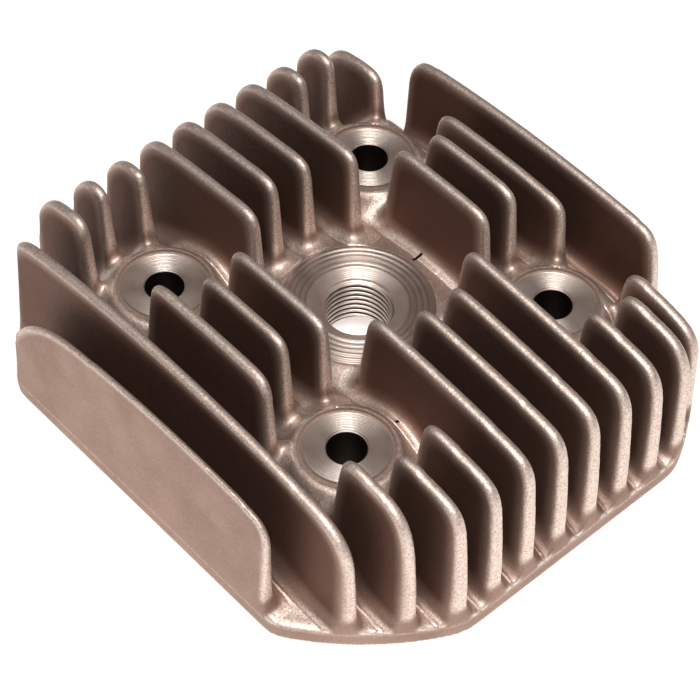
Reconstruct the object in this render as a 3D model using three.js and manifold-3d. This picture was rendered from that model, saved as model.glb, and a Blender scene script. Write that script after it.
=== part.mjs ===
// Air-cooled cylinder head for a small single-cylinder engine.
// One aluminium casting with a machined gasket face, four stud seats and a threaded plug hole,
// laid out here feature by feature: deck, crown, plug seat, stud bosses and cooling fins.
// Millimetres, +Z up, fins along X. The shapes are drawn about the cylinder axis on the gasket face,
// and the finished group is then moved so that its origin is the middle of the deck's footprint.
import * as THREE from "three";
import { mergeVertices } from "three/addons/utils/BufferGeometryUtils.js";
import Module from "manifold-3d";

const wasm = await Module();
wasm.setup();

// Clearance kept wherever one feature is cut to make room for another.
const GAP = 0.3;
// How far a cutting body runs past the face that it cuts.
const PAST = 1;

// Deck: the flat flange that bears on the cylinder. Its corners are arcs about the cylinder axis.
const DECK_TOP = 4;
const DECK_LEFT = 49.2;
const DECK_RIGHT = 58;
const DECK_FRONT = 52.6;
const DECK_BACK = 47.8;
const DECK_CORNER_RADIUS = 63.8;
const DECK_EDGE = 0.6;

// Combustion chamber, sunk into the gasket face.
const CHAMBER_RADIUS = 21;
const CHAMBER_DEPTH = 5.8;
const CHAMBER_ROOF_MARGIN = 1;

// Crown: the body over the chamber, flat on top and sloping away to the deck.
const CROWN_TOP = 15.5;
const CROWN_FLAT_RADIUS = 37;
const CROWN_FOOT_RADIUS = 56;
const CROWN_LIP = 0.6;
const CROWN_SIDE_RUN = 11;

// Spark plug seat, for an M14 x 1.25 plug.
const PLUG_BORE_RADIUS = 6.5;
const PLUG_SEAT_RISE = 2.1;
const PLUG_SEAT_INNER = 9.3;
const PLUG_SEAT_OUTER = 14.5;
const PLUG_CHAMFER = 1;
const PLUG_SKIRT_RADIUS = 17.4;
const PLUG_POCKET_RADIUS = 17.7;

// Studs: clearance holes, each in a boss with a sunk spotface for the nut's washer.
const STUD_SPACING_X = 50;
const STUD_SPACING_Y = 51.1;
const STUD_HOLE_RADIUS = 3.65;
const SPOTFACE_RADIUS = 7.9;
const SPOTFACE_DEPTH = 0.7;
const BOSS_LAND_RADIUS = 9.7;
const BOSS_RISE = 5;
const BOSS_ROUND = 0.6;
const BOSS_FOOT_RADIUS = 11.5;
const STUD_POCKET_RADIUS = 12.5;

// Fins: plates along X in evenly spaced rows, numbered from the front. The first row is flush with
// the deck's front edge and a ledge is left behind the last one.
const FIN_THICKNESS = 3;
const FIN_ROUND = 1.1;
const FIN_BACK_LEDGE = 2.6;
const FIN_END_INSET = 0.3;
const POCKET_DRAFT_DEG = 5;

// Segments used to draw round features.
const ROUND_SEGMENTS = 32;
const LARGE_ROUND_SEGMENTS = 64;
const CURVE_SEGMENTS = 6;

// Each fin's side outline. crest is the top of its arch; a shoulder is the rounding at an end:
// drop is from the crest to where it starts, run is its length, face is the height of the flat end.
// A setback stops an end short of the deck's edge; tabs caps the pieces beyond the studs.
const TALL_LEFT = { drop: 1.9, run: 9, face: 23.5 };
const TALL_RIGHT = { drop: 2.9, run: 12, face: 26 };
const FINS = [
  {
    crest: 28.9, leftSetback: 4.4, rightSetback: 3.7,
    leftShoulder: { drop: 1.3, run: 10, face: 19 },
    rightShoulder: { drop: 0.9, run: 7, face: 21 },
  },
  {
    crest: 33,
    leftShoulder: { drop: 2.6, run: 8, face: 22 },
    rightShoulder: { drop: 2.4, run: 15, face: 19.6 },
  },
  { crest: 36.9, leftShoulder: TALL_LEFT, rightShoulder: { drop: 2.1, run: 12, face: 23 } },
  { crest: 36.7, leftShoulder: TALL_LEFT, rightShoulder: TALL_RIGHT },
  { crest: 36.7, leftShoulder: TALL_LEFT, rightShoulder: TALL_RIGHT },
  { crest: 36.7, leftShoulder: TALL_LEFT, rightShoulder: TALL_RIGHT },
  { crest: 36.7, leftShoulder: TALL_LEFT, rightShoulder: TALL_RIGHT },
  { crest: 36.7, leftShoulder: TALL_LEFT, rightShoulder: TALL_RIGHT },
  { crest: 36.7, leftShoulder: TALL_LEFT, rightShoulder: TALL_RIGHT },
  { crest: 36.4, leftShoulder: TALL_LEFT, rightShoulder: { drop: 3.4, run: 12, face: 24 } },
  { crest: 36.2, leftShoulder: TALL_LEFT, rightShoulder: { drop: 3.5, run: 12, face: 22 } },
  {
    crest: 32.6, tabs: 28.8,
    leftShoulder: { drop: 3.8, run: 8, face: 20 },
    rightShoulder: { drop: 4.2, run: 14, face: 19 },
  },
  {
    crest: 32.6, leftSetback: 13.2, rightSetback: 10.8,
    leftShoulder: { drop: 1.6, run: 6, face: 23 },
    rightShoulder: { drop: 1, run: 8, face: 22 },
  },
];

// Heights and places that follow from the sizes above.
const PLUG_SEAT_TOP = CROWN_TOP + PLUG_SEAT_RISE;
const BOSS_TOP = CROWN_TOP + BOSS_RISE;
const SPOTFACE_HEIGHT = BOSS_TOP - SPOTFACE_DEPTH;
const FIRST_FIN_Y = -DECK_FRONT + FIN_THICKNESS / 2;
const LAST_FIN_Y = DECK_BACK - FIN_BACK_LEDGE - FIN_THICKNESS / 2;
const FIN_PITCH = (LAST_FIN_Y - FIRST_FIN_Y) / (FINS.length - 1);

const castAluminium = () => new THREE.MeshStandardMaterial({
  color: 0x9a8880, roughness: 0.55, metalness: 0.85,
});
const machinedAluminium = () => new THREE.MeshStandardMaterial({
  color: 0xd8cdc4, roughness: 0.3, metalness: 1,
});

// ---- solids -------------------------------------------------------------------------------

// A closed geometry as a solid that can be cut and joined.
function toSolid(geometry) {
  const plain = geometry.clone();
  plain.deleteAttribute("normal");
  plain.deleteAttribute("uv");
  const merged = mergeVertices(plain, 1e-4);
  return new wasm.Manifold(new wasm.Mesh({
    numProp: 3,
    vertProperties: merged.attributes.position.array,
    triVerts: new Uint32Array(merged.index.array),
  }));
}

function toGeometry(solid) {
  const mesh = solid.getMesh();
  const geometry = new THREE.BufferGeometry();
  const vertices = new Float32Array(mesh.vertProperties);
  geometry.setAttribute("position", new THREE.BufferAttribute(vertices, 3));
  geometry.setIndex(new THREE.BufferAttribute(new Uint32Array(mesh.triVerts), 1));
  geometry.computeVertexNormals();
  return geometry;
}

// Turns a profile of [radius, height] points, given anticlockwise, about the Z axis.
function turned(points, x = 0, y = 0, segments = ROUND_SEGMENTS) {
  const closed = points[0][0] > 0 ? [...points, points[0]] : points;
  const profile = closed.map(([radius, height]) => new THREE.Vector2(radius, height));
  const geometry = new THREE.LatheGeometry(profile, segments);
  geometry.rotateX(Math.PI / 2);
  geometry.translate(x, y, 0);
  return toSolid(geometry);
}

function pillar(radius, low, high, x, y, segments = ROUND_SEGMENTS) {
  return turned([[0, low], [radius, low], [radius, high], [0, high]], x, y, segments);
}

// An outline in X and Z, given as a THREE.Shape, with thickness along Y from low to high.
function plate(outline, low, high, round = 0) {
  const geometry = new THREE.ExtrudeGeometry(outline, {
    depth: high - low - 2 * round,
    bevelEnabled: round > 0,
    bevelThickness: round,
    bevelSize: round,
    bevelOffset: -round,
    bevelSegments: 2,
    curveSegments: CURVE_SEGMENTS,
  });
  geometry.rotateX(Math.PI / 2);
  geometry.translate(0, high - round, 0);
  return toSolid(geometry);
}

function box(lowX, highX, lowY, highY, lowZ, highZ) {
  const geometry = new THREE.BoxGeometry(highX - lowX, highY - lowY, highZ - lowZ);
  geometry.translate((lowX + highX) / 2, (lowY + highY) / 2, (lowZ + highZ) / 2);
  return toSolid(geometry);
}

// ---- deck, crown and chamber ----------------------------------------------------------------

const STUDS = [
  { name: "front_left", x: -STUD_SPACING_X / 2, y: -STUD_SPACING_Y / 2 },
  { name: "front_right", x: STUD_SPACING_X / 2, y: -STUD_SPACING_Y / 2 },
  { name: "back_left", x: -STUD_SPACING_X / 2, y: STUD_SPACING_Y / 2 },
  { name: "back_right", x: STUD_SPACING_X / 2, y: STUD_SPACING_Y / 2 },
];

// The deck is a plate with straight sides, cut by a disc that gives it its corner arcs.
function deckPlate() {
  const low = DECK_EDGE;
  const high = DECK_TOP - DECK_EDGE;
  const inner = DECK_CORNER_RADIUS - DECK_EDGE;
  const disc = turned(
    [
      [0, 0], [inner, 0], [DECK_CORNER_RADIUS, low],
      [DECK_CORNER_RADIUS, high], [inner, DECK_TOP], [0, DECK_TOP],
    ],
    0, 0, LARGE_ROUND_SEGMENTS,
  );
  const sides = new THREE.Shape();
  sides.moveTo(-DECK_LEFT, -DECK_FRONT);
  sides.lineTo(DECK_RIGHT, -DECK_FRONT);
  sides.lineTo(DECK_RIGHT, DECK_BACK);
  sides.lineTo(-DECK_LEFT, DECK_BACK);
  const slab = new THREE.ExtrudeGeometry(sides, {
    depth: high - low,
    bevelThickness: DECK_EDGE,
    bevelSize: DECK_EDGE,
    bevelOffset: -DECK_EDGE,
    bevelSegments: 1,
  });
  slab.translate(0, 0, low);
  return [chamber(), ...studHoles()].reduce(
    (solid, cut) => solid.subtract(cut),
    toSolid(slab).intersect(disc),
  );
}

// The domed hollow over the piston: a quarter ellipse from its rim up to the flat of its roof.
function chamber() {
  const roof = PLUG_BORE_RADIUS + CHAMBER_ROOF_MARGIN;
  const steps = 8;
  const dome = [];
  for (let i = 0; i <= steps; i += 1) {
    const turn = (i / steps) * (Math.PI / 2);
    dome.push([
      roof + (CHAMBER_RADIUS - roof) * Math.cos(turn),
      CHAMBER_DEPTH * Math.sin(turn),
    ]);
  }
  return turned(
    [[0, -PAST], [CHAMBER_RADIUS, -PAST], ...dome, [0, CHAMBER_DEPTH]],
    0, 0, LARGE_ROUND_SEGMENTS,
  );
}

function studHoles() {
  return STUDS.map(({ x, y }) => pillar(STUD_HOLE_RADIUS, -PAST, BOSS_TOP + PAST, x, y));
}

// The crown's outside, grown sideways for cutting the fins that stride over it. Its sides slope to
// the deck's left and right edges, and it stops at the inner faces of the first and last fins.
function crownBlock(grow, bottom) {
  const foot = DECK_TOP + CROWN_LIP;
  const cone = turned(
    [
      [0, bottom], [CROWN_FOOT_RADIUS + grow, bottom], [CROWN_FOOT_RADIUS + grow, foot],
      [CROWN_FLAT_RADIUS + grow, CROWN_TOP], [0, CROWN_TOP],
    ],
    0, 0, LARGE_ROUND_SEGMENTS,
  );
  const left = -DECK_LEFT + DECK_EDGE - grow;
  const right = DECK_RIGHT - DECK_EDGE + grow;
  const sides = new THREE.Shape();
  sides.moveTo(left, bottom);
  sides.lineTo(right, bottom);
  sides.lineTo(right, foot);
  sides.lineTo(right - CROWN_SIDE_RUN, CROWN_TOP);
  sides.lineTo(left + CROWN_SIDE_RUN, CROWN_TOP);
  sides.lineTo(left, foot);
  const front = FIRST_FIN_Y + FIN_THICKNESS / 2 + GAP;
  const back = LAST_FIN_Y - FIN_THICKNESS / 2 - GAP;
  return cone.intersect(plate(sides, front, back));
}

function crown() {
  const bore = pillar(PLUG_BORE_RADIUS, 0, CROWN_TOP + PAST, 0, 0);
  const columns = STUDS.map(({ x, y }) =>
    pillar(BOSS_FOOT_RADIUS + GAP, DECK_TOP - PAST, CROWN_TOP + PAST, x, y));
  return [chamber(), bore, ...columns].reduce(
    (solid, cut) => solid.subtract(cut),
    crownBlock(0, DECK_TOP),
  );
}

// The raised ring that the plug's washer seats on, with a sloping cast skirt round it.
function plugSeat() {
  return turned([
    [PLUG_BORE_RADIUS, CROWN_TOP],
    [PLUG_SKIRT_RADIUS, CROWN_TOP],
    [PLUG_SEAT_OUTER, PLUG_SEAT_TOP - PLUG_CHAMFER / 2],
    [PLUG_SEAT_OUTER - PLUG_CHAMFER / 2, PLUG_SEAT_TOP],
    [PLUG_SEAT_INNER, PLUG_SEAT_TOP],
    [PLUG_BORE_RADIUS, PLUG_SEAT_TOP - PLUG_CHAMFER],
  ]);
}

function studBoss({ x, y }) {
  return turned(
    [
      [STUD_HOLE_RADIUS, DECK_TOP], [BOSS_FOOT_RADIUS, DECK_TOP], [BOSS_FOOT_RADIUS, CROWN_TOP],
      [BOSS_LAND_RADIUS + BOSS_ROUND, BOSS_TOP - BOSS_ROUND], [BOSS_LAND_RADIUS, BOSS_TOP],
      [SPOTFACE_RADIUS, BOSS_TOP], [SPOTFACE_RADIUS, SPOTFACE_HEIGHT],
      [STUD_HOLE_RADIUS, SPOTFACE_HEIGHT],
    ],
    x, y,
  );
}

// ---- fins -----------------------------------------------------------------------------------

// The room that the fins leave round a boss or the plug seat.
function boreClearance(foot, land, top, x, y) {
  return turned(
    [
      [0, -PAST], [foot + GAP, -PAST], [foot + GAP, CROWN_TOP + GAP],
      [land + GAP, top + GAP], [0, top + GAP],
    ],
    x, y,
  );
}

const bores = [
  { x: 0, y: 0, pocket: PLUG_POCKET_RADIUS },
  ...STUDS.map(({ x, y }) => ({ x, y, pocket: STUD_POCKET_RADIUS })),
];

// The gaps that the round pockets about the holes cut in a fin at this y, opening upwards by draft.
function pocketGaps(y, low, high) {
  const height = 2 * BOSS_TOP;
  const lean = (height - CROWN_TOP) * Math.tan(THREE.MathUtils.degToRad(POCKET_DRAFT_DEG));
  return bores.filter((bore) => Math.abs(y - bore.y) < bore.pocket).map((bore) => {
    const half = Math.sqrt(bore.pocket ** 2 - (y - bore.y) ** 2);
    const gap = new THREE.Shape();
    gap.moveTo(bore.x - half, -PAST);
    gap.lineTo(bore.x + half, -PAST);
    gap.lineTo(bore.x + half, CROWN_TOP);
    gap.lineTo(bore.x + half + lean, height);
    gap.lineTo(bore.x - half - lean, height);
    gap.lineTo(bore.x - half, CROWN_TOP);
    return plate(gap, low, high);
  });
}

// How far a fin's end reaches: to the deck's straight side or its corner arc, whichever is nearer.
function finReach(side, y, setback = 0) {
  const arc = Math.sqrt(DECK_CORNER_RADIUS ** 2 - y ** 2);
  return Math.min(side, arc) - FIN_END_INSET - setback;
}

function finOutline(fin, y) {
  const left = -finReach(DECK_LEFT, y, fin.leftSetback);
  const right = finReach(DECK_RIGHT, y, fin.rightSetback);
  const { leftShoulder, rightShoulder, crest } = fin;
  const low = DECK_TOP - 2 * FIN_ROUND;
  const leftTop = crest - leftShoulder.drop;
  const rightTop = crest - rightShoulder.drop;
  // The arch passes through the crest half way between the shoulders.
  const archPull = 2 * crest - (leftTop + rightTop) / 2;
  const outline = new THREE.Shape();
  outline.moveTo(left, low);
  outline.lineTo(right, low);
  outline.lineTo(right, rightShoulder.face);
  outline.quadraticCurveTo(
    right - rightShoulder.run / 9, rightTop - rightShoulder.run / 9,
    right - rightShoulder.run, rightTop,
  );
  outline.quadraticCurveTo(
    (left + leftShoulder.run + right - rightShoulder.run) / 2, archPull,
    left + leftShoulder.run, leftTop,
  );
  outline.quadraticCurveTo(
    left + leftShoulder.run / 9, leftTop - leftShoulder.run / 9,
    left, leftShoulder.face,
  );
  return outline;
}

const crownCut = crownBlock(GAP, 0);
const boreCuts = [
  boreClearance(PLUG_SKIRT_RADIUS, PLUG_SEAT_OUTER, PLUG_SEAT_TOP, 0, 0),
  ...STUDS.map(({ x, y }) =>
    boreClearance(BOSS_FOOT_RADIUS, BOSS_LAND_RADIUS + BOSS_ROUND, BOSS_TOP, x, y)),
];
const SEGMENT_NAMES = {
  1: [""],
  2: ["_left", "_right"],
  3: ["_left", "_middle", "_right"],
  4: ["_left", "_middle_left", "_middle_right", "_right"],
};

const centreX = (solid) => {
  const { min, max } = solid.boundingBox();
  return (min[0] + max[0]) / 2;
};

// One fin as the separate pieces that the pockets leave of it, from left to right.
function finPieces(fin, index) {
  const y = FIRST_FIN_Y + index * FIN_PITCH;
  const far = 2 * DECK_CORNER_RADIUS;
  const front = y - FIN_THICKNESS / 2;
  const back = y + FIN_THICKNESS / 2;
  const whole = plate(finOutline(fin, y), front, back, FIN_ROUND);
  const cuts = [
    box(-far, far, -far, far, -far, DECK_TOP),
    crownCut,
    ...boreCuts,
    ...pocketGaps(y, front - PAST, back + PAST),
  ];
  if (fin.tabs) {
    const tabStart = STUD_SPACING_X / 2;
    cuts.push(box(tabStart, far, -far, far, fin.tabs, far));
    cuts.push(box(-far, -tabStart, -far, far, fin.tabs, far));
  }
  const pieces = cuts.reduce((solid, cut) => solid.subtract(cut), whole).decompose();
  pieces.sort((a, b) => centreX(a) - centreX(b));
  return pieces;
}

// ---- the assembly ---------------------------------------------------------------------------

const head = new THREE.Group();
head.position.set((DECK_LEFT - DECK_RIGHT) / 2, (DECK_FRONT - DECK_BACK) / 2, 0);

function add(name, solid, material, parent = head) {
  const mesh = new THREE.Mesh(toGeometry(solid), material);
  mesh.name = name;
  parent.add(mesh);
}

add("deck_plate", deckPlate(), castAluminium());
add("crown", crown(), castAluminium());
add("plug_seat", plugSeat(), machinedAluminium());
STUDS.forEach((stud) => add(`stud_boss_${stud.name}`, studBoss(stud), machinedAluminium()));

const fins = new THREE.Group();
head.add(fins);
FINS.forEach((fin, index) => {
  const pieces = finPieces(fin, index);
  const number = String(index + 1).padStart(2, "0");
  pieces.forEach((piece, i) => {
    add(`fin_${number}${SEGMENT_NAMES[pieces.length][i]}`, piece, castAluminium(), fins);
  });
});

export default head;
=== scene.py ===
"""Cast and machined finish for an air-cooled cylinder head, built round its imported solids."""
import math

import bpy
from mathutils import Matrix, Vector


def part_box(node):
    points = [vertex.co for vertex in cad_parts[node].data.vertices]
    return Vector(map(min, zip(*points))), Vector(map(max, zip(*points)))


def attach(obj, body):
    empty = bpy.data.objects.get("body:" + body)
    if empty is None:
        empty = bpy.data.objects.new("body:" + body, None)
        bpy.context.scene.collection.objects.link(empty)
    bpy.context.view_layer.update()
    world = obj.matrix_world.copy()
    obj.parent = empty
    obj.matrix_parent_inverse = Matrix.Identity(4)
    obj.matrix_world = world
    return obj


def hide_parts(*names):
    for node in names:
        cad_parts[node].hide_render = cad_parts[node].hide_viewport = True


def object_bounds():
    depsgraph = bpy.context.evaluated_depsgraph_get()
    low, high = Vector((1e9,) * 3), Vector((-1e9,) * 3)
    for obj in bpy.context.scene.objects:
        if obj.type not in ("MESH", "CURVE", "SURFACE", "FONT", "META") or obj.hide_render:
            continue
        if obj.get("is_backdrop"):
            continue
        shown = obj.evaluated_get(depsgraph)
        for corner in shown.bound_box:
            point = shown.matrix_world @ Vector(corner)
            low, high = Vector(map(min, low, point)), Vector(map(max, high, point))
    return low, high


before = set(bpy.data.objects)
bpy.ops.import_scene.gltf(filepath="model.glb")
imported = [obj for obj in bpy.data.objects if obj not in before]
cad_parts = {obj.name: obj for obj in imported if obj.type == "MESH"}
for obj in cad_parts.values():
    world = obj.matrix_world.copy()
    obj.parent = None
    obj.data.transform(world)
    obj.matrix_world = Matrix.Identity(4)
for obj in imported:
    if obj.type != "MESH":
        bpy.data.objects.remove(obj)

MM = 0.001
packed_low, packed_high = (Vector(corner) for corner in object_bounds())

# ---- sizes, in millimetres about the cylinder axis ------------------------------------------

seat_low, seat_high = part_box("plug_seat")
AXIS = (seat_low + seat_high) / 2 / MM
AXIS.z = 0
DECK_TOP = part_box("deck_plate")[1].z / MM
CROWN_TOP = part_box("crown")[1].z / MM
PLUG_SEAT_TOP = seat_high.z / MM
deck_low, deck_high = (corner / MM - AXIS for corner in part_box("deck_plate"))
boss_low, boss_high = (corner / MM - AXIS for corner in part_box("stud_boss_back_right"))
STUD_X = (boss_low.x + boss_high.x) / 2
STUD_Y = (boss_low.y + boss_high.y) / 2
BOSS_TOP = boss_high.z

DECK_CORNER_RADIUS = 63.8
DECK_EDGE_RADIUS = 0.8
CROWN_FLAT_RADIUS = 37
CROWN_FOOT_RADIUS = 57
CROWN_SIDE_RUN = 11
CHAMBER_RADIUS = 21
CHAMBER_DEPTH = 5.8
CHAMBER_ROOF_RADIUS = 7.5
BOSS_LAND_RADIUS = 9.8
BOSS_FOOT_RADIUS = 12.6
STUD_HOLE_RADIUS = 3.65
SPOTFACE_RADIUS = 7.9
SPOTFACE_DEPTH = 0.7
PLUG_MACHINED_RADIUS = 14.5
PLUG_POCKET_RADIUS = 17.7
STUD_POCKET_RADIUS = 12.5
POCKET_LEAN = math.tan(math.radians(5))
PLUG_RINGS_START = 9.2
PLUG_RING_PITCH = 1.13
THREAD_RADIUS = 7
THREAD_PITCH = 1.25

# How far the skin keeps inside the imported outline, so that the two boxes agree.
OUTLINE_INSET = 0.06
FIN_HALF_THICKNESS = 0.98
FIN_DRAFT = 0.025
FIN_CREST_ROUND = 0.95
# Lean of the fins' right ends: a slight one from the deck up, and more above a height.
END_DRAFT = 0.05
END_LEAN_FROM = 11
END_LEAN = 0.15
FIN_ROOT_FILLET = 5.2
FIN_VOXEL = 0.42
FIN_GRID_REACH = 4.4
BODY_VOXEL = 0.6
LAND_STEP = 0.5

# How the end shoulders of the rows fall: drop from the crest, run along X, height of the flat end.
TALL_LEFT = (1.9, 9, 23.5)
TALL_RIGHT = (2.9, 12, 26)
SHOULDERS = {
    1: ((1.3, 10, 19), (0.9, 7, 21)),
    2: ((2.6, 8, 22), (2.4, 15, 19.6)),
    3: (TALL_LEFT, (2.1, 12, 23)),
    10: (TALL_LEFT, (3.4, 12, 24)),
    11: (TALL_LEFT, (3.5, 12, 22)),
    12: ((3.8, 8, 20), (4.2, 14, 19)),
    13: ((1.6, 6, 23), (1, 8, 22)),
}
ROW_CRESTS = {1: 28.9, 2: 33, 3: 36.9, 10: 36.4, 11: 36.2, 12: 32.6, 13: 32.6}
TALL_CREST = 36.7
ROW_COUNT = 13
# The first row's left end bulges past the deck's corner and curls back under to it.
FIRST_ROW_END = {
    "Left": 38.3, "Left drop": 1.3, "Left run": 24, "Left face": 8,
    "Left margin": 0, "Right margin": 0, "Overhang": 1,
}
TAB_HEIGHTS = {12: 28.8}

# Short slits behind the bores, painted near-black as their shade: place along X, start and stop along
# Y, and the height they end at.
NICK_HALF_WIDTH = 0.34
NICKS = ((25.9, -17.2, -13.9, 19.2), (-25.6, -17.6, -14.5, 19.2), (-1.6, 15.2, 18.6, 17.3))


# ---- node trees written as sums --------------------------------------------------------------

class Value:
    """A socket of a node tree. Sums on it add Math nodes to its tree."""

    def __init__(self, graph, socket):
        self.graph = graph
        self.socket = socket

    def math(self, operation, *others):
        return self.graph.node(
            "ShaderNodeMath", {"operation": operation}, dict(enumerate((self, *others))))

    def __add__(self, other):
        return self.math("ADD", other)

    def __radd__(self, other):
        return self.math("ADD", other)

    def __sub__(self, other):
        return self.math("SUBTRACT", other)

    def __rsub__(self, other):
        return self.graph.number(other).math("SUBTRACT", self)

    def __mul__(self, other):
        return self.math("MULTIPLY", other)

    def __rmul__(self, other):
        return self.math("MULTIPLY", other)

    def __truediv__(self, other):
        return self.math("DIVIDE", other)

    def __pow__(self, other):
        return self.math("POWER", other)

    def __neg__(self):
        return self.math("MULTIPLY", -1)

    def __abs__(self):
        return self.math("ABSOLUTE")

    def root(self):
        return self.math("SQRT")

    def least(self, other):
        return self.math("MINIMUM", other)

    def most(self, other):
        return self.math("MAXIMUM", other)

    def blend_least(self, other, reach):
        return self.math("SMOOTH_MIN", other, reach)

    def blend_most(self, other, reach):
        return self.math("SMOOTH_MAX", other, reach)

    def ramp(self, low, high):
        """0 at low, 1 at high, smooth between."""
        return self.graph.node(
            "ShaderNodeMapRange", {"interpolation_type": "SMOOTHSTEP", "clamp": True},
            {"Value": self, "From Min": low, "From Max": high})


class Graph:
    """A node tree, with one way to add any node to it."""

    def __init__(self, tree):
        self.tree = tree

    def node(self, kind, settings=None, inputs=None, output=0):
        made = self.tree.nodes.new(kind)
        for name, value in (settings or {}).items():
            setattr(made, name, value)
        for name, value in (inputs or {}).items():
            if isinstance(value, Value):
                self.tree.links.new(value.socket, made.inputs[name])
            else:
                made.inputs[name].default_value = value
        return Value(self, made.outputs[output])

    def number(self, value):
        return self.node("ShaderNodeMath", {"operation": "ADD"}, {0: value, 1: 0})


def length(a, b):
    return (a * a + b * b).root()


def rounded(a, b, radius):
    """The inside of both a and b, with their shared edge rounded to a radius."""
    over_a, over_b = a + radius, b + radius
    return length(over_a.most(0), over_b.most(0)) + over_a.most(over_b).least(0) - radius


def slope(reach, z, top, foot):
    """Distance from a slope that runs from top to foot, each a pair of reach and height."""
    run, rise = foot[0] - top[0], top[1] - foot[1]
    steep = math.hypot(run, rise)
    return (reach - top[0]) * (rise / steep) + (z - top[1]) * (run / steep)


# ---- the casting as distances from its surface -----------------------------------------------

def place(graph):
    """x, y and z in millimetres about the cylinder axis on the gasket face."""
    position = graph.node("GeometryNodeInputPosition")
    parts = [
        graph.node("ShaderNodeSeparateXYZ", inputs={0: position}, output=i) for i in range(3)]
    return [part / MM - AXIS[i] for i, part in enumerate(parts)]


def outline_distance(x, y):
    """Distance from the deck's outline: four straight sides cut by one circle."""
    sides = (x - deck_high.x).most(-x + deck_low.x).most(y - deck_high.y).most(-y + deck_low.y)
    return sides.blend_most(length(x, y) - DECK_CORNER_RADIUS, 2) + OUTLINE_INSET


def floor_distance(x, y, z):
    """Distance from the cast surface that the fins stand on."""
    radius = length(x, y)
    foot = DECK_TOP + 0.6
    dome = slope(radius, z, (CROWN_FLAT_RADIUS, CROWN_TOP), (CROWN_FOOT_RADIUS, foot))
    left = slope(-x, z, (-deck_low.x - CROWN_SIDE_RUN, CROWN_TOP), (-deck_low.x - 0.6, foot))
    right = slope(x, z, (deck_high.x - CROWN_SIDE_RUN, CROWN_TOP), (deck_high.x - 0.6, foot))
    crown = (z - CROWN_TOP).blend_most(dome, 5).blend_most(left, 3).blend_most(right, 3)
    crown = crown.most(-y + deck_low.y + 1.5).most(y - deck_high.y + 4)
    boss_reach = length(abs(x) - STUD_X, abs(y) - STUD_Y)
    land = BOSS_TOP - LAND_STEP
    boss_side = slope(boss_reach, z, (BOSS_LAND_RADIUS, land), (BOSS_FOOT_RADIUS, CROWN_TOP))
    boss = (z - land).blend_most(boss_side, 1.6)
    skirt_top = (PLUG_MACHINED_RADIUS + 0.2, PLUG_SEAT_TOP - 0.3)
    skirt = (z - skirt_top[1]).blend_most(
        slope(radius, z, skirt_top, (PLUG_POCKET_RADIUS + 1, CROWN_TOP - 0.4)), 1.2)
    floor = (z - DECK_TOP).blend_least(crown, 4).blend_least(boss, 4).blend_least(skirt, 3)
    return floor


def open_floor(x, y):
    """1 on the floors about the plug and the studs, fading out between the fins."""
    about_plug = (PLUG_POCKET_RADIUS + 4 - length(x, y)).ramp(0.0, 3.0)
    about_studs = STUD_POCKET_RADIUS + 3.5 - length(abs(x) - STUD_X, abs(y) - STUD_Y)
    return about_plug.most(about_studs.ramp(0.0, 2.5))


def body_distance(x, y, z):
    """Distance from the casting without its fins."""
    edge = outline_distance(x, y)
    half = DECK_TOP / 2
    deck = rounded(edge, abs(z - half) - half + 0.01, DECK_EDGE_RADIUS)
    raised = floor_distance(x, y, z).most(-z + 1).most(edge + 0.8)
    body = deck.least(raised)
    radius = length(x, y)
    across = (radius - CHAMBER_ROOF_RADIUS).most(0) / (CHAMBER_RADIUS - CHAMBER_ROOF_RADIUS)
    chamber = (1 - length(across, z / CHAMBER_DEPTH)) * CHAMBER_DEPTH
    bore = (THREAD_RADIUS + 0.6) - radius
    seat_cut = ((PLUG_MACHINED_RADIUS - 0.6) - radius).least(z - (PLUG_SEAT_TOP - 1.4))
    reach = length(abs(x) - STUD_X, abs(y) - STUD_Y)
    stud_bore = (STUD_HOLE_RADIUS + 0.45) - reach
    stud_cut = ((SPOTFACE_RADIUS + 0.5) - reach).least(z - (BOSS_TOP - 1.3))
    return body.most(chamber).most(bore).most(seat_cut).most(stud_bore).most(stud_cut)


def wobble(graph, amount):
    """The slight unevenness that sand leaves in a cast face."""
    position = graph.node("GeometryNodeInputPosition")
    noise = graph.node(
        "ShaderNodeTexNoise", inputs={"Vector": position, "Scale": 190.0, "Detail": 2.0})
    return (noise - 0.5) * amount


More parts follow.
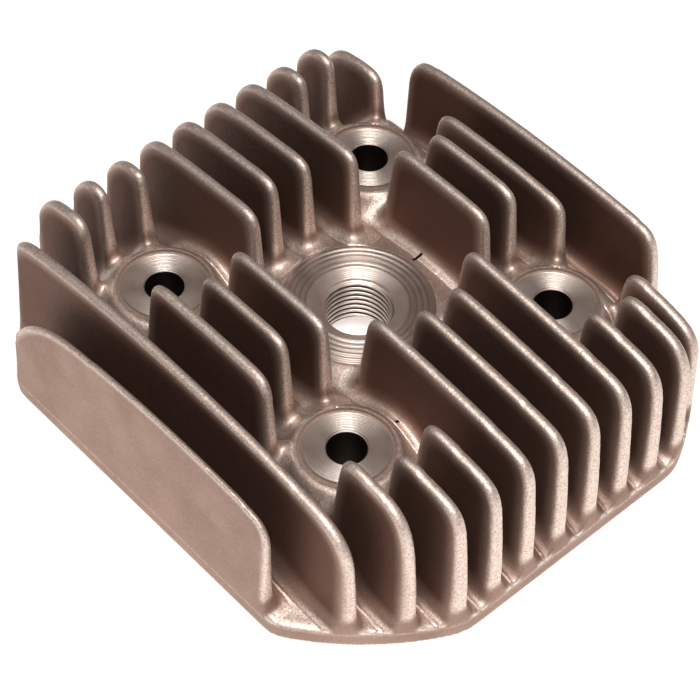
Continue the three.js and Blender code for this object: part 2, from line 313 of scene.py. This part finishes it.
def solid_tree(name, inputs, field, painted_light_field=None):
    """A tree that meshes everything inside a distance field. Its inputs are its named sizes."""
    tree = bpy.data.node_groups.new(name, "GeometryNodeTree")
    tree.is_modifier = True
    face = tree.interface
    face.new_socket("Geometry", in_out="OUTPUT", socket_type="NodeSocketGeometry")
    for label in ("Low corner", "High corner"):
        face.new_socket(label, in_out="INPUT", socket_type="NodeSocketVector")
    for label in ("Steps X", "Steps Y", "Steps Z"):
        face.new_socket(label, in_out="INPUT", socket_type="NodeSocketInt")
    for label in inputs:
        face.new_socket(label, in_out="INPUT", socket_type="NodeSocketFloat")
    face.new_socket("Material", in_out="INPUT", socket_type="NodeSocketMaterial")
    graph = Graph(tree)
    source = tree.nodes.new("NodeGroupInput")
    given = {socket.name: Value(graph, socket) for socket in source.outputs if socket.name}
    x, y, z = place(graph)
    distance, painted_light_and_wear = field(graph, x, y, z, given)
    volume = graph.node("GeometryNodeVolumeCube", inputs={
        "Density": -distance, "Background": -10.0,
        "Min": given["Low corner"], "Max": given["High corner"],
        "Resolution X": given["Steps X"], "Resolution Y": given["Steps Y"],
        "Resolution Z": given["Steps Z"],
    })
    mesh = graph.node(
        "GeometryNodeVolumeToMesh", {"resolution_mode": "GRID"},
        {"Volume": volume, "Threshold": 0.0, "Adaptivity": 0.0})
    # Stores the painted light on each point: above 0 a painted highlight, partly over real rubbing on
    # the crests, below 0 painted shade.
    with_painted_light = graph.node(
        "GeometryNodeStoreNamedAttribute", {"data_type": "FLOAT", "domain": "POINT"},
        {"Geometry": mesh, "Name": "painted_light_and_wear", "Value": painted_light_and_wear})
    smooth = graph.node("GeometryNodeSetShadeSmooth", inputs={"Geometry": with_painted_light})
    real = graph.node("GeometryNodeRealizeInstances", inputs={"Geometry": smooth})
    finished = graph.node(
        "GeometryNodeSetMaterial", inputs={"Geometry": real, "Material": given["Material"]})
    target = tree.nodes.new("NodeGroupOutput")
    tree.links.new(finished.socket, target.inputs["Geometry"])
    return tree


def grown(name, tree, settings, material):
    """The plain mesh object that a node tree makes from its named inputs."""
    maker = bpy.data.objects.new(name + "_maker", bpy.data.meshes.new(name + "_seed"))
    bpy.context.scene.collection.objects.link(maker)
    modifier = maker.modifiers.new("Shape", "NODES")
    modifier.node_group = tree
    settings = {**settings, "Material": material}
    for item in tree.interface.items_tree:
        if item.in_out == "INPUT" and item.name in settings:
            modifier[item.identifier] = settings[item.name]
    evaluated = maker.evaluated_get(bpy.context.evaluated_depsgraph_get())
    mesh = bpy.data.meshes.new_from_object(evaluated)
    mesh.name = name
    bpy.data.objects.remove(maker)
    return linked(name, mesh)


def linked(name, mesh):
    piece = bpy.data.objects.new(name, mesh)
    bpy.context.scene.collection.objects.link(piece)
    return piece


def grid_settings(low, high, voxel):
    """Corners and step counts of a voxel grid over a box given in millimetres about the axis."""
    steps = [max(2, round((high[i] - low[i]) / voxel)) for i in range(3)]
    corner = [[(point[i] + AXIS[i]) * MM for i in range(3)] for point in (low, high)]
    return {
        "Low corner": corner[0], "High corner": corner[1],
        "Steps X": steps[0], "Steps Y": steps[1], "Steps Z": steps[2],
    }


def keep(piece, slot, *nodes):
    """Hands a finished piece to the frame."""
    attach(piece, "root")
    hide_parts(*nodes)
    return piece


# ---- fins ------------------------------------------------------------------------------------

FIN_INPUTS = (
    "Row", "Left", "Right", "Crest", "Left drop", "Left run", "Left face",
    "Right drop", "Right run", "Right face", "Tab height", "Plug gap", "Stud gap",
    "Left margin", "Right margin", "Overhang",
)


def shoulder(reach, z, end, run, top, face):
    """Distance from the elliptical shoulder between a fin's arch and its flat end."""
    fall = top - face
    past_arch = reach - end + run
    bend = length(past_arch.most(0) / run, (z - face).most(0) / fall)
    return (bend - 1) * fall + past_arch.least(0)


def fin_field(graph, x, y, z, given):
    """Distance from one row of fins with its root fillets, and its painted light: painted highlights
    on the crests (partly real rubbing there), on the deck ledge and on the fillets about the pockets,
    and painted shade deep between the rows.
    """
    left, right, crest = given["Left"], given["Right"], given["Crest"]
    left_top = crest - given["Left drop"]
    right_top = crest - given["Right drop"]
    start, stop = given["Left run"] - left, right - given["Right run"]
    along = (x - start) / (stop - start)
    pull = 2 * crest - (left_top + right_top) / 2
    rest = 1 - along
    arch = left_top * rest * rest + pull * 2 * along * rest + right_top * along * along
    beyond_studs = abs(x).math("GREATER_THAN", STUD_X)
    tab = arch.blend_least(given["Tab height"], 1.5)
    top = arch + (tab - arch) * beyond_studs
    side = (z - top).blend_most(
        shoulder(x, z, right, given["Right run"], right_top, given["Right face"]), 1.5)
    side = side.blend_most(
        shoulder(-x, z, left, given["Left run"], left_top, given["Left face"]), 1.5)
    end_lean = (z - END_LEAN_FROM).most(0) * END_LEAN * (1 - given["Overhang"])
    side = side.blend_most(x - right - given["Right margin"] + end_lean, 4)
    side = side.blend_most(-x - left - given["Left margin"], 2.5)
    undercut = (-x - left - given["Left margin"]) * 0.8 + (7.4 - z) * 0.6
    side = side.blend_most(undercut * given["Overhang"] - 20 * (1 - given["Overhang"]), 2.5)
    lean = (z - CROWN_TOP).most(-3) * POCKET_LEAN
    plug_gap = given["Plug gap"] + lean - abs(x)
    stud_gap = given["Stud gap"] + lean - abs(abs(x) - STUD_X)
    side = side.blend_most(plug_gap.most(stud_gap), 5.5)
    across = abs(y - given["Row"])
    flank = across - ((crest - z) * FIN_DRAFT + FIN_HALF_THICKNESS)
    fin = rounded(side, flank, FIN_CREST_ROUND) + wobble(graph, 0.09)
    floor = floor_distance(x, y, z)
    past_corner = given["Overhang"] * (-x).ramp(20.0, 26.0) * 4
    edge = (outline_distance(x, y) - past_corner).most(-y + deck_low.y + OUTLINE_INSET) + 0.05
    edge = edge + (z - DECK_TOP).most(0) * END_DRAFT
    flared = fin.blend_least(floor + 0.04, FIN_ROOT_FILLET)
    buried = (-floor - 1).most(fin - FIN_ROOT_FILLET).most(across - 3.9)
    stud_reach = length(abs(x) - STUD_X, abs(y) - STUD_Y)
    seats = ((SPOTFACE_RADIUS + 1.1) - stud_reach).most((PLUG_MACHINED_RADIUS + 0.2) - length(x, y))
    solid = flared.most(buried).most(seats).blend_most(edge, 0.5)
    # Painted highlight, partly real rubbing: a bright band along the crests.
    crest = (side + 1.5).ramp(0.0, 1.5) * (floor - 2).ramp(0.0, 2.0)
    # Painted highlight on the up-facing deck ledge beside the fins.
    ledge = (z - DECK_TOP + 1).ramp(0.0, 0.6) * (DECK_TOP + 1.2 - z).ramp(0.0, 1.0)
    # Painted shade on the flanks deep between the rows, left off the first row, whose front flank
    # stands open.
    painted_shade = (-side - 0.7).ramp(0.0, 2.4) * (floor - 1).ramp(0.0, 3.0)
    # Painted highlight on the root fillets about the plug and stud pockets.
    fillet = open_floor(x, y) * (2.4 - floor).ramp(0.0, 2.0)
    highlight_and_rubbing_mask = crest.most(ledge * (fin - 0.6).ramp(0.0, 0.8)).most(fillet)
    painted_light_and_wear = highlight_and_rubbing_mask - painted_shade * (1 - given["Overhang"])
    return solid, painted_light_and_wear


def rows():
    """The fin nodes of each row, by row number."""
    found = {}
    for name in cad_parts:
        if name.startswith("fin_"):
            found.setdefault(int(name.split("_")[1]), []).append(name)
    return found


def half_gap(pocket, distance):
    """Half the length that a round pocket takes out of a row at a distance from its hole."""
    return math.sqrt(pocket ** 2 - distance ** 2) if distance < pocket else -1000


def make_fins(material):
    tree = solid_tree("Fin row", FIN_INPUTS, fin_field)
    for row, nodes in sorted(rows().items()):
        boxes = [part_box(node) for node in nodes]
        low = [min(box[0][i] for box in boxes) / MM - AXIS[i] for i in range(3)]
        high = [max(box[1][i] for box in boxes) / MM - AXIS[i] for i in range(3)]
        y = (low[1] + high[1]) / 2
        left_shoulder, right_shoulder = SHOULDERS.get(row, (TALL_LEFT, TALL_RIGHT))
        sizes = {
            "Row": y, "Left": -low[0], "Right": high[0], "Crest": ROW_CRESTS.get(row, TALL_CREST),
            "Left drop": left_shoulder[0], "Left run": left_shoulder[1],
            "Left face": left_shoulder[2], "Right drop": right_shoulder[0],
            "Right run": right_shoulder[1], "Right face": right_shoulder[2],
            "Tab height": TAB_HEIGHTS.get(row, 100),
            "Plug gap": half_gap(PLUG_POCKET_RADIUS, abs(y)),
            "Stud gap": half_gap(STUD_POCKET_RADIUS, abs(abs(y) - STUD_Y)),
            "Left margin": 1, "Right margin": 1, "Overhang": 0,
        }
        if row == 1:
            sizes.update(FIRST_ROW_END)
        if row == ROW_COUNT:
            sizes.update({"Left margin": 0, "Right margin": 0})
        sizes = {name: float(value) for name, value in sizes.items()}
        near = (low[0] - 2.5, y - FIN_GRID_REACH, DECK_TOP - 1.8)
        far = (high[0] + 2.5, y + FIN_GRID_REACH, high[2] + 1)
        grid = grid_settings(near, far, FIN_VOXEL)
        piece = grown(f"cast_fins_{row:02d}", tree, {**grid, **sizes}, material)
        keep(piece, "cast_aluminium", *nodes)


# ---- body ------------------------------------------------------------------------------------

def body_field(graph, x, y, z, given):
    solid = body_distance(x, y, z) + wobble(graph, 0.07) * (z - 1).ramp(0.0, 1.0)
    boss_reach = length(abs(x) - STUD_X, abs(y) - STUD_Y)
    # Painted highlights: on the boss land rims, on the deck ledge and on the open crown floors about
    # the plug and studs.
    rim = (1 - abs(boss_reach - BOSS_LAND_RADIUS).ramp(0.2, 1.1)) * (z - BOSS_TOP + 1).ramp(0.0, 0.6)
    ledge = (z - DECK_TOP + 1).ramp(0.0, 0.6) * (DECK_TOP + 1.6 - z).ramp(0.0, 1.2)
    open_crown = open_floor(x, y) * (z - CROWN_TOP + 3).ramp(0.0, 2.0)
    return solid, (rim * 0.3).most(ledge).most(open_crown * 0.5)


def make_body(material):
    tree = solid_tree("Casting body", (), body_field)
    low = (deck_low.x - 2, deck_low.y - 2, -2)
    high = (deck_high.x + 2, deck_high.y + 2, BOSS_TOP + 2)
    piece = grown("cast_body", tree, grid_settings(low, high, BODY_VOXEL), material)
    keep(piece, "cast_aluminium", "deck_plate", "crown")


# ---- machined seats --------------------------------------------------------------------------

def revolved(name, profile, centre, material, steps=144):
    """A closed ring turned from a profile of (radius, height) points, given in millimetres."""
    vertices, faces = [], []
    count = len(profile)
    for i in range(steps):
        turn = 2 * math.pi * i / steps
        for radius, height in profile:
            vertices.append((
                (centre[0] + AXIS.x + radius * math.cos(turn)) * MM,
                (centre[1] + AXIS.y + radius * math.sin(turn)) * MM,
                height * MM,
            ))
    for i in range(steps):
        for j in range(count):
            a, b = i * count + j, i * count + (j + 1) % count
            c, d = (i + 1) % steps * count + (j + 1) % count, (i + 1) % steps * count + j
            faces.append((a, d, c, b))
    mesh = bpy.data.meshes.new(name)
    mesh.from_pydata(vertices, [], faces)
    mesh.materials.append(material)
    mesh.validate()
    for face in mesh.polygons:
        face.use_smooth = True
    mesh.set_sharp_from_angle(angle=math.radians(35))
    return linked(name, mesh)


def make_stud_seats(machined, cast):
    """Each stud hole with its spotface, and the cast lip that the spotface is sunk into."""
    floor = BOSS_TOP - SPOTFACE_DEPTH
    land = BOSS_TOP - LAND_STEP
    seat_profile = [
        (STUD_HOLE_RADIUS + 0.4, 0.02), (STUD_HOLE_RADIUS + 0.9, 1),
        (STUD_HOLE_RADIUS + 0.9, floor - 1.5), (SPOTFACE_RADIUS + 0.3, floor - 1.5),
        (SPOTFACE_RADIUS + 0.3, floor), (STUD_HOLE_RADIUS + 0.3, floor),
        (STUD_HOLE_RADIUS, floor - 0.3), (STUD_HOLE_RADIUS, 0.3),
    ]
    lip_profile = [
        (SPOTFACE_RADIUS + 0.05, floor - 1), (SPOTFACE_RADIUS + 1, floor - 1),
        (SPOTFACE_RADIUS + 1, land - 0.12), (SPOTFACE_RADIUS + 0.5, land - 0.03),
        (SPOTFACE_RADIUS + 0.2, land - 0.02), (SPOTFACE_RADIUS + 0.05, land - 0.1),
    ]
    for depth, y in (("front", -STUD_Y), ("back", STUD_Y)):
        for side, x in (("left", -STUD_X), ("right", STUD_X)):
            boss = f"stud_boss_{depth}_{side}"
            seat = revolved(f"stud_seat_{depth}_{side}", seat_profile, (x, y), machined)
            keep(seat, "machined_aluminium", boss)
            lip = revolved(f"stud_lip_{depth}_{side}", lip_profile, (x, y), cast)
            # A faint painted highlight over the whole lip.
            painted_light_and_wear = lip.data.attributes.new("painted_light_and_wear", "FLOAT", "POINT")
            for value in painted_light_and_wear.data:
                value.value = 0.15
            keep(lip, "cast_aluminium", boss)


def thread_profile(turns):
    """Radius of an internal thread at a number of turns along it: a flat-topped V."""
    phase = turns % 1
    depth = 0.6134 * THREAD_PITCH
    rise = abs(phase - 0.5) * 2
    return THREAD_RADIUS - depth * min(1, max(0, (rise - 0.1) / 0.72))


def ring_phase(radius):
    return 2 * math.pi * (radius - PLUG_RINGS_START) / PLUG_RING_PITCH


def make_plug_seat(material):
    """The plug's seat: stepped machined rings outside, a real helical thread inside."""
    steps = 160
    bottom, mouth = CHAMBER_DEPTH + 0.1, PLUG_SEAT_TOP - 1.1
    samples = 14
    rows_up = round((mouth - bottom) / THREAD_PITCH * samples)
    across = [PLUG_RINGS_START + i * PLUG_RING_PITCH / 10 for i in range(46)]
    ripple = [(r, PLUG_SEAT_TOP - 0.1 + 0.1 * math.cos(ring_phase(r))) for r in across]
    rings = [
        (THREAD_RADIUS + 0.1, mouth + 0.1), (PLUG_RINGS_START - 0.3, PLUG_SEAT_TOP - 0.16), *ripple,
        (PLUG_MACHINED_RADIUS, PLUG_SEAT_TOP - 0.42),
        (PLUG_MACHINED_RADIUS + 0.1, PLUG_SEAT_TOP - 1.9),
        (THREAD_RADIUS + 1.3, PLUG_SEAT_TOP - 2.2), (THREAD_RADIUS + 1.3, bottom + 1),
        (THREAD_RADIUS + 0.5, bottom),
    ]
    vertices, faces = [], []
    count = rows_up + 1 + len(rings)
    for i in range(steps):
        turn = i / steps
        angle = 2 * math.pi * turn
        column = []
        for j in range(rows_up + 1):
            height = bottom + (mouth - bottom) * j / rows_up
            fade = min(1, (mouth - height) / 0.9)
            radius = thread_profile(height / THREAD_PITCH - turn)
            column.append((THREAD_RADIUS + (radius - THREAD_RADIUS) * fade, height))
        for radius, height in column + rings:
            vertices.append((
                (AXIS.x + radius * math.cos(angle)) * MM,
                (AXIS.y + radius * math.sin(angle)) * MM,
                height * MM,
            ))
    for i in range(steps):
        for j in range(count):
            a, b = i * count + j, i * count + (j + 1) % count
            c, d = (i + 1) % steps * count + (j + 1) % count, (i + 1) % steps * count + j
            faces.append((a, b, c, d))
    mesh = bpy.data.meshes.new("plug_seat_thread")
    mesh.from_pydata(vertices, [], faces)
    mesh.materials.append(material)
    for face in mesh.polygons:
        face.use_smooth = True
    mesh.set_sharp_from_angle(angle=math.radians(35))
    keep(linked("plug_seat_thread", mesh), "machined_aluminium", "plug_seat")


# ---- finishes --------------------------------------------------------------------------------

def new_material(name):
    material = bpy.data.materials.new(name)
    material.use_nodes = True
    tree = material.node_tree
    tree.nodes.clear()
    graph = Graph(tree)
    shader = tree.nodes.new("ShaderNodeBsdfPrincipled")
    output = tree.nodes.new("ShaderNodeOutputMaterial")
    tree.links.new(shader.outputs[0], output.inputs[0])
    return material, graph, shader


def feed(graph, shader, socket, value):
    graph.tree.links.new(value.socket, shader.inputs[socket])


def mix_colour(graph, factor, first, second):
    return graph.node(
        "ShaderNodeMix", {"data_type": "RGBA"}, {0: factor, 6: first, 7: second}, output=2)


def noise(graph, where, scale, detail=2.0, rough=0.5):
    return graph.node("ShaderNodeTexNoise", inputs={
        "Vector": where, "Scale": scale, "Detail": detail, "Roughness": rough})


def bump(graph, height, distance, strength, under=None):
    inputs = {"Height": height, "Distance": distance, "Strength": strength}
    if under is not None:
        inputs["Normal"] = under
    return graph.node("ShaderNodeBump", inputs=inputs)


def nick(x, y, z, nick_at):
    """A short slit along Y, painted near-black as its shade: 1 inside it and 0 outside."""
    across, start, stop, height = nick_at
    inside = (NICK_HALF_WIDTH - abs(x - across)).ramp(0.0, 0.1) * (y - start).ramp(0.0, 0.2)
    return inside * (stop - y).ramp(0.0, 0.2) * (height - z).ramp(0.0, 0.3)


def cast_aluminium():
    """Sand-cast skin: brown-grey, finely pitted, with painted highlights on crests (partly real
    rubbing there), rims, ledges and open floors, and painted shade deep between the fins.
    """
    material, graph, shader = new_material("cast_aluminium_skin")
    where = graph.node("ShaderNodeTexCoord", output=3)
    x, y, z = (
        graph.node("ShaderNodeSeparateXYZ", inputs={0: where}, output=i) / MM - AXIS[i]
        for i in range(3))
    grain = noise(graph, where, 2600.0, 3.0, 0.6)
    pits = noise(graph, where, 1100.0, 4.0, 0.65)
    cloud = noise(graph, where, 90.0, 3.0)
    # The stored painted light: above 0 a painted highlight, partly over real rubbing on the crests,
    # below 0 painted shade.
    painted_light_and_wear = graph.node("ShaderNodeAttribute", {"attribute_name": "painted_light_and_wear"}, output=2)
    highlight_and_rubbing = painted_light_and_wear.most(0) * (grain.ramp(0.35, 0.6) * 0.5 + 0.5)
    # Painted shade: the negative part of the stored painted light.
    painted_shade_amount = (-painted_light_and_wear).most(0)
    tone = cloud.ramp(0.3, 0.7) * 0.5 + grain.ramp(0.3, 0.7) * 0.5
    dull = mix_colour(graph, tone, (0.31, 0.212, 0.17, 1), (0.45, 0.325, 0.272, 1))
    # Painted shade: dark brown mixed in deep between the fins.
    painted_shade = mix_colour(graph, painted_shade_amount * 0.85, dull, (0.13, 0.062, 0.045, 1))
    # Painted highlight: near-white mixed in over crests, rims, ledges and fillets.
    skin = mix_colour(graph, highlight_and_rubbing, painted_shade, (0.86, 0.74, 0.67, 1))
    chamber = (CHAMBER_RADIUS + 0.2 - length(x, y)).ramp(0.0, 0.1) * (6.5 - z).ramp(0.0, 0.1)
    cut = (0.2 - z).ramp(0.0, 0.1).most(chamber)
    nicks = nick(x, y, z, NICKS[0])
    for nick_at in NICKS[1:]:
        nicks = nicks.most(nick(x, y, z, nick_at))
    cut_skin = mix_colour(graph, cut, skin, (0.78, 0.70, 0.64, 1))
    # Painted shade: the slits are mixed to near-black.
    feed(graph, shader, "Base Color", mix_colour(graph, nicks, cut_skin, (0.02, 0.012, 0.01, 1)))
    shader.inputs["Metallic"].default_value = 1.0
    rough = 0.64 - highlight_and_rubbing * 0.08 + (pits - 0.5) * 0.12
    feed(graph, shader, "Roughness", rough - cut * 0.3)
    coarse = bump(graph, pits * (1 - cut), 0.00016, 0.6)
    feed(graph, shader, "Normal", bump(graph, grain, 0.00006, 0.6, coarse))
    return material


def machined_aluminium():
    """Bright cut metal with turning marks about the nearest hole, and painted shade in the ring
    valleys, the thread grooves and down the stud bores.
    """
    material, graph, shader = new_material("machined_aluminium_face")
    where = graph.node("ShaderNodeTexCoord", output=3)
    x, y, z = (
        graph.node("ShaderNodeSeparateXYZ", inputs={0: where}, output=i) / MM - AXIS[i]
        for i in range(3))
    at_plug = length(x, y)
    at_stud = length(abs(x) - STUD_X, abs(y) - STUD_Y)
    reach = at_plug.least(at_stud)
    marks = (reach * 29).math("SINE") * 0.6 + (reach * 47).math("SINE") * 0.4
    cloud = noise(graph, where, 300.0, 3.0)
    bright = mix_colour(graph, cloud, (0.80, 0.69, 0.62, 1), (0.92, 0.83, 0.77, 1))
    outer = (at_plug - PLUG_RINGS_START).ramp(0.0, 1.0) * (15 - at_plug).ramp(0.0, 0.5)
    colour = mix_colour(graph, outer * 0.4, bright, (0.42, 0.32, 0.275, 1))
    turn = (at_plug - PLUG_RINGS_START) * (2 * math.pi / PLUG_RING_PITCH)
    valleys = (-turn.math("COSINE")).ramp(0.2, 1.0) * (at_plug - 9.0).ramp(0.0, 0.3)
    groove_floor = (at_plug - (THREAD_RADIUS - 0.66)).ramp(0.0, 0.25)
    grooves = groove_floor * (THREAD_RADIUS + 0.1 - at_plug).ramp(0.0, 0.1)
    grooves = grooves * (PLUG_SEAT_TOP - 1.9 - z).ramp(0.0, 0.3)
    stud_bore = (STUD_HOLE_RADIUS + 0.05 - at_stud).ramp(0.0, 0.04)
    # Painted shade: the ring valleys, the thread groove floors and the stud bores are mixed towards
    # near-black.
    shade = (valleys * (15 - at_plug).ramp(0.0, 0.5) * 0.3).most(grooves * 0.93).most(stud_bore * 0.97)
    feed(graph, shader, "Base Color", mix_colour(graph, shade, colour, (0.06, 0.035, 0.028, 1)))
    shader.inputs["Metallic"].default_value = 1.0
    feed(graph, shader, "Roughness", cloud * 0.16 + 0.32)
    feed(graph, shader, "Normal", bump(graph, marks, 0.00003, 1.0))
    return material


# ---- stage -----------------------------------------------------------------------------------

# The camera: azimuth, elevation and roll in degrees, and its place in millimetres about the axis.
CAMERA_ANGLES = (45.82, 49.73, 2.57)
CAMERA_EYE = (204.2, -200.0, 341.3)


def make_camera():
    camera = bpy.data.objects.new("camera", bpy.data.cameras.new("camera"))
    bpy.context.scene.collection.objects.link(camera)
    azimuth, elevation, roll = (math.radians(angle) for angle in CAMERA_ANGLES)
    back = Vector((
        math.sin(azimuth) * math.cos(elevation),
        -math.cos(azimuth) * math.cos(elevation),
        math.sin(elevation),
    ))
    level = Vector((math.cos(azimuth), math.sin(azimuth), 0))
    rise = back.cross(level)
    right = level * math.cos(roll) + rise * math.sin(roll)
    up = rise * math.cos(roll) - level * math.sin(roll)
    eye = (Vector(CAMERA_EYE) + AXIS) * MM
    turn = Matrix((right, up, back)).transposed().to_4x4()
    camera.matrix_world = Matrix.Translation(eye) @ turn
    camera.data.sensor_width = 36
    camera.data.lens = 120.25
    camera.data.clip_start = 0.01
    bpy.context.scene.camera = camera


def area_light(name, power, size, place_at, aim, colour=(1, 1, 1)):
    data = bpy.data.lights.new(name, "AREA")
    data.energy = power
    data.size = size
    data.color = colour
    lamp = bpy.data.objects.new(name, data)
    bpy.context.scene.collection.objects.link(lamp)
    lamp.location = place_at
    lamp.rotation_euler = (Vector(aim) - Vector(place_at)).to_track_quat("-Z", "Y").to_euler()


def make_stage():
    scene = bpy.context.scene
    scene.view_settings.view_transform = "Standard"
    world = bpy.data.worlds.new("studio")
    scene.world = world
    world.use_nodes = True
    world.node_tree.nodes["Background"].inputs[0].default_value = (1.0, 0.93, 0.89, 1)
    world.node_tree.nodes["Background"].inputs[1].default_value = 0.13
    bpy.ops.mesh.primitive_plane_add(size=6, location=(0, 0, packed_low.z - 0.0002))
    floor = bpy.context.active_object
    floor.name = "floor"
    material, graph, shader = new_material("pale_floor")
    shader.inputs["Base Color"].default_value = (0.93, 0.92, 0.91, 1)
    shader.inputs["Roughness"].default_value = 0.8
    shader.inputs["Emission Color"].default_value = (1, 0.99, 0.98, 1)
    shader.inputs["Emission Strength"].default_value = 0.4
    floor.data.materials.append(material)
    floor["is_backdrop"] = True
    area_light("key", 6.4, 0.34, (0.24, -0.22, 0.72), (0, 0, 0.02), (1, 0.96, 0.93))


make_camera()
make_stage()
cast = cast_aluminium()
machined = machined_aluminium()
make_body(cast)
make_fins(cast)
make_stud_seats(machined, cast)
make_plug_seat(machined)
